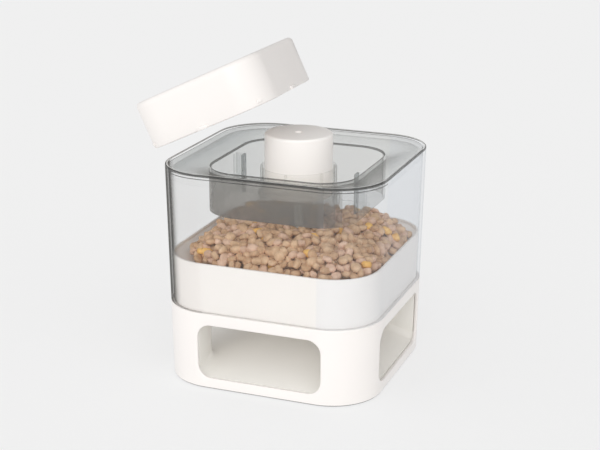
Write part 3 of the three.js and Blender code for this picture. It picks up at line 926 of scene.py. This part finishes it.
def kibble_heap():
    """All the loose kibbles as one mesh, each a turned and tipped copy of one of eight shapes."""
    rng = random.Random(21)
    variants = [kibble_variant(i) for i in range(len(KIBBLE_LOBES))]
    vertices, faces, slots = [], [], []
    offset = 0
    for x, y, z in kibble_places():
        points, triangles = variants[rng.randrange(len(variants))]
        size = rng.uniform(4.1, 5.1)
        turned = Matrix.Rotation(rng.uniform(0, 6.28), 3, "Z")
        lean = rng.gauss(0, 0.75)
        axis = Vector((rng.uniform(-1, 1), rng.uniform(-1, 1), 0.1)).normalized()
        matrix = np.array(Matrix.Rotation(lean, 3, axis) @ turned)
        placed = points @ matrix.T * size + np.array((x, y, z))
        vertices.append(placed)
        faces += [tuple(k + offset for k in triangle) for triangle in triangles]
        offset += len(placed)
        draw = rng.random()
        slot = next(place for below, place in KIBBLE_SHARES if draw < below)
        slots += [slot] * len(triangles)
    heap = add_mesh("kibble_heap", np.concatenate(vertices).tolist(), faces)
    heap.data.shade_smooth()
    for material in KIBBLES:
        heap.data.materials.append(material)
    heap.data.polygons.foreach_set("material_index", slots)
    return heap


def kibble_core():
    """The unseen middle of the heap, a kibble below its skin."""
    rows = [(29.0, 28.0, 74), (9.5, 9.2, 77), (9.5, 9.2, 119)]
    rows += [(half - 6, corner - 3, z - 11) for half, corner, z, _ in heap_profile()[1:]]
    return tidy(loft("kibble_core", rows), 60)


# ---------------------------------------------------------------- camera, light and floor
def camera():
    """A long lens from the front right, a little above the rim."""
    azimuth, elevation, roll = (math.radians(a) for a in (20.814, 17.565, 0.205))
    level = math.cos(elevation)
    back = Vector((math.sin(azimuth) * level, -math.cos(azimuth) * level, math.sin(elevation)))
    right = Vector((0, 0, 1)).cross(back).normalized()
    up = back.cross(right)
    level_x = math.cos(roll) * right + math.sin(roll) * up
    level_y = -math.sin(roll) * right + math.cos(roll) * up
    lens = bpy.data.cameras.new("camera")
    lens.lens = 83.505
    lens.sensor_width = 36
    eye = bpy.data.objects.new("camera", lens)
    bpy.context.scene.collection.objects.link(eye)
    turned = Matrix((level_x, level_y, back)).transposed().to_4x4()
    eye.matrix_world = Matrix.Translation((0.4157, -1.08995, 0.49368)) @ turned
    bpy.context.scene.camera = eye


def soft_sun(name, comes_from, strength, spread, colour=(1, 1, 1)):
    """A sun with a disc of spread degrees, which softens its shadows."""
    lamp = bpy.data.lights.new(name, "SUN")
    lamp.energy = strength
    lamp.angle = math.radians(spread)
    lamp.color = colour
    holder = bpy.data.objects.new(name, lamp)
    bpy.context.scene.collection.objects.link(holder)
    holder.rotation_euler = (-Vector(comes_from)).to_track_quat("-Z", "Y").to_euler()


def surroundings(world):
    """A white studio that is brightest in front of the feeder and dimmest behind it."""
    tree = world.node_tree
    background = tree.nodes["Background"]
    background.inputs["Color"].default_value = (1, 1, 1, 1)
    coordinates = tree.nodes.new("ShaderNodeTexCoord")
    weigh = tree.nodes.new("ShaderNodeVectorMath")
    weigh.operation = "DOT_PRODUCT"
    weigh.inputs[1].default_value = (-0.12, -0.45, 0.05)
    tree.links.new(coordinates.outputs["Generated"], weigh.inputs[0])
    lift = tree.nodes.new("ShaderNodeMath")
    lift.operation = "ADD"
    lift.inputs[1].default_value = 0.70
    tree.links.new(weigh.outputs["Value"], lift.inputs[0])
    tree.links.new(lift.outputs[0], background.inputs["Strength"])


def studio():
    """The world, the two lamps and the pale floor."""
    scene = bpy.context.scene
    scene.view_settings.view_transform = "Standard"
    scene.cycles.transparent_max_bounces = 40
    world = bpy.data.worlds.new("studio")
    world.use_nodes = True
    scene.world = world
    surroundings(world)
    soft_sun("key", (0.12, -1.0, 0.36), 0.5, 40, (1, 0.985, 0.96))
    soft_sun("side", (0.75, -0.5, 0.75), 0.38, 60)
    material, _, shader, _ = new_material("backdrop_paper")
    shader.inputs["Base Color"].default_value = (0.22, 0.22, 0.22, 1)
    shader.inputs["Roughness"].default_value = 1
    shader.inputs["Specular IOR Level"].default_value = 0
    shader.inputs["Emission Color"].default_value = (1, 1, 1, 1)
    shader.inputs["Emission Strength"].default_value = 0.68
    span = 9000
    corners = [(-span, -span, 0), (span, -span, 0), (span, span, 0), (-span, span, 0)]
    floor = add_mesh("floor", corners, [(0, 1, 2, 3)])
    floor.data.materials.append(material)
    floor.location.z = -0.0002  # just under the feet


# ---------------------------------------------------------------- edges of the clear pieces
def outward(centre, normal):
    """How far a face of a four-sided piece looks away from the feeder's middle, 1 for squarely."""
    return (centre.x * normal.x + centre.y * normal.y) / math.hypot(centre.x, centre.y)


def on_wall_edge(centre, normal):
    """The rounded outer edge of the rim, and in front a thin line a little below it: both get a dark colour,
    painted shade along the edge.
    """
    below = centre.y < -1 and RIM_LINE_LOW < centre.z < RIM_LINE_HIGH
    return outward(centre, normal) > 0.3 and (below or centre.z > RIM_EDGE)


def on_throat_edge(centre, normal):
    """The throat's outer rim and the rounded lip of its well, which get painted shade along their edge."""
    if centre.z > THROAT_CREST:
        return from_square(centre, half_at(RIM) - CLEAR - 0.3, CORNER - CLEAR - 0.3) > -0.7
    lip = from_square(centre, WELL_HALF, WELL_CORNER)
    return WELL_EDGE - 1.5 < centre.z and -0.1 < lip < 1.6 and normal.z > -0.1


def on_throat_skirt(centre, normal):
    """The outer side of the skirt that hangs from the well, which gets painted shade."""
    return centre.z < WELL_EDGE - 2.5 and from_square(centre, WELL_HALF, WELL_CORNER) > 1.2


def on_throat_flange(centre, normal):
    """The flange that stands against the inside of the outer wall."""
    return centre.z < THROAT_CREST and from_square(centre, HALF - 12, CORNER - 12) > 0


def on_lid_stop(centre, normal):
    """The two uprights inside the well, below its lip."""
    return centre.z < WELL_EDGE - 3 and from_square(centre, WELL_HALF, WELL_CORNER) < -0.2


def on_stop_end(centre, normal):
    """The uprights' ends, which face the button and get a darker tint as painted shade."""
    return on_lid_stop(centre, normal) and abs(centre.x) < STOP_END


def in_foot_shadow(centre, normal):
    """The lower part of the base's rounded foot, which gets a dark colour as a painted shadow along the
    floor.
    """
    return centre.z < 1.3 and normal.z < -0.25


# ---------------------------------------------------------------- assembly
camera()
studio()

base = stand_for(base_shell(), "base_shell", ROOT, WHITE)
# Painted contact shadow along the base's foot.
paint(base, PAINTED_FOOT_SHADOW, in_foot_shadow)
stand_for(feeding_tray(), "feeding_tray", ROOT, TRAY_WHITE)
stand_for(hopper_floor(), "hopper_floor", ROOT, FLOOR_WHITE)
wall = stand_for(hopper_wall(), "hopper_wall", ROOT, CLEAR_WALL)
# Painted light: the wall's right side and right corners get the lighter copy.
paint(wall, CLEAR_WALL_PAINTED_LIGHT, lambda centre, normal: centre.x > HALF - CORNER)
# Painted shade: the wall's front left corner gets the darker copy.
paint(wall, CLEAR_WALL_PAINTED_SHADE, lambda centre, normal: max(centre.x, centre.y) < CORNER - HALF)
# Painted highlight on the rim's upward faces.
paint(wall, CLEAR_CREST_HIGHLIGHT, lambda centre, normal: centre.z > RIM - 0.9 and normal.z > 0.6)
# Painted shade along the rim's outer edge and the thin line below it.
paint(wall, CLEAR_EDGE_SHADE, on_wall_edge)
throat = stand_for(filler_throat(), "filler_throat", ROOT, CLEAR_THROAT)
# Painted shade on the skirt's outer faces, in steps that thin towards its right flank.
for turned_right, skirt_shade in SKIRT_SHADES:
    paint(throat, skirt_shade, lambda centre, normal: on_throat_skirt(centre, normal) and normal.x > turned_right)
paint(throat, CLEAR_FAINT, on_throat_flange)
# Painted shade along the throat's rim and the well's lip.
paint(throat, CLEAR_EDGE_SHADE, on_throat_edge)
paint(throat, CLEAR_STOP, on_lid_stop)
# Painted shade on the uprights' ends.
paint(throat, CLEAR_STOP_END_SHADE, on_stop_end)
spider = stand_for(guide_spider(), "guide_spider", ROOT, CLEAR_TUBE)
tube = stand_for(guide_tube(), "guide_tube", ROOT, CLEAR_TUBE)
stand_for(button_cap(), "button_cap", PLUNGER, BUTTON_WHITE)
stand_for(plunger_rod(), "plunger_rod", PLUNGER, NYLON)
stand_for(valve_plug(), "valve_plug", PLUNGER, TRAY_WHITE)
stand_for(valve_seal(), "valve_seal", PLUNGER, SILICONE)
stand_for(lid_shell(), "lid_shell", LID, WHITE)
stand_for(press_pad(), "lid_press_pad", LID, SILICONE)

spring = stand_for(return_spring(), "return_spring", ROOT, STEEL)
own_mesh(spring)

heap = kibble_heap()
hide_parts("kibble_fill")
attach(heap, ROOT)
stand_for(kibble_core(), "kibble_fill", ROOT, KIBBLES[1])

for piece in (wall, throat, spider, tube):
    piece.visible_shadow = False

# The CAD parts that are shown as they are, by the start of their names.
CARRIED = {
    "bottom_plate": WHITE, "foot_pad": SILICONE, "base_screw": STEEL, "deck_screw": STEEL, "valve_nut": NYLON,
}
for node_name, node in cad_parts.items():
    for start, material in CARRIED.items():
        if node_name.startswith(start):
            node.data.materials.clear()
            node.data.materials.append(material)
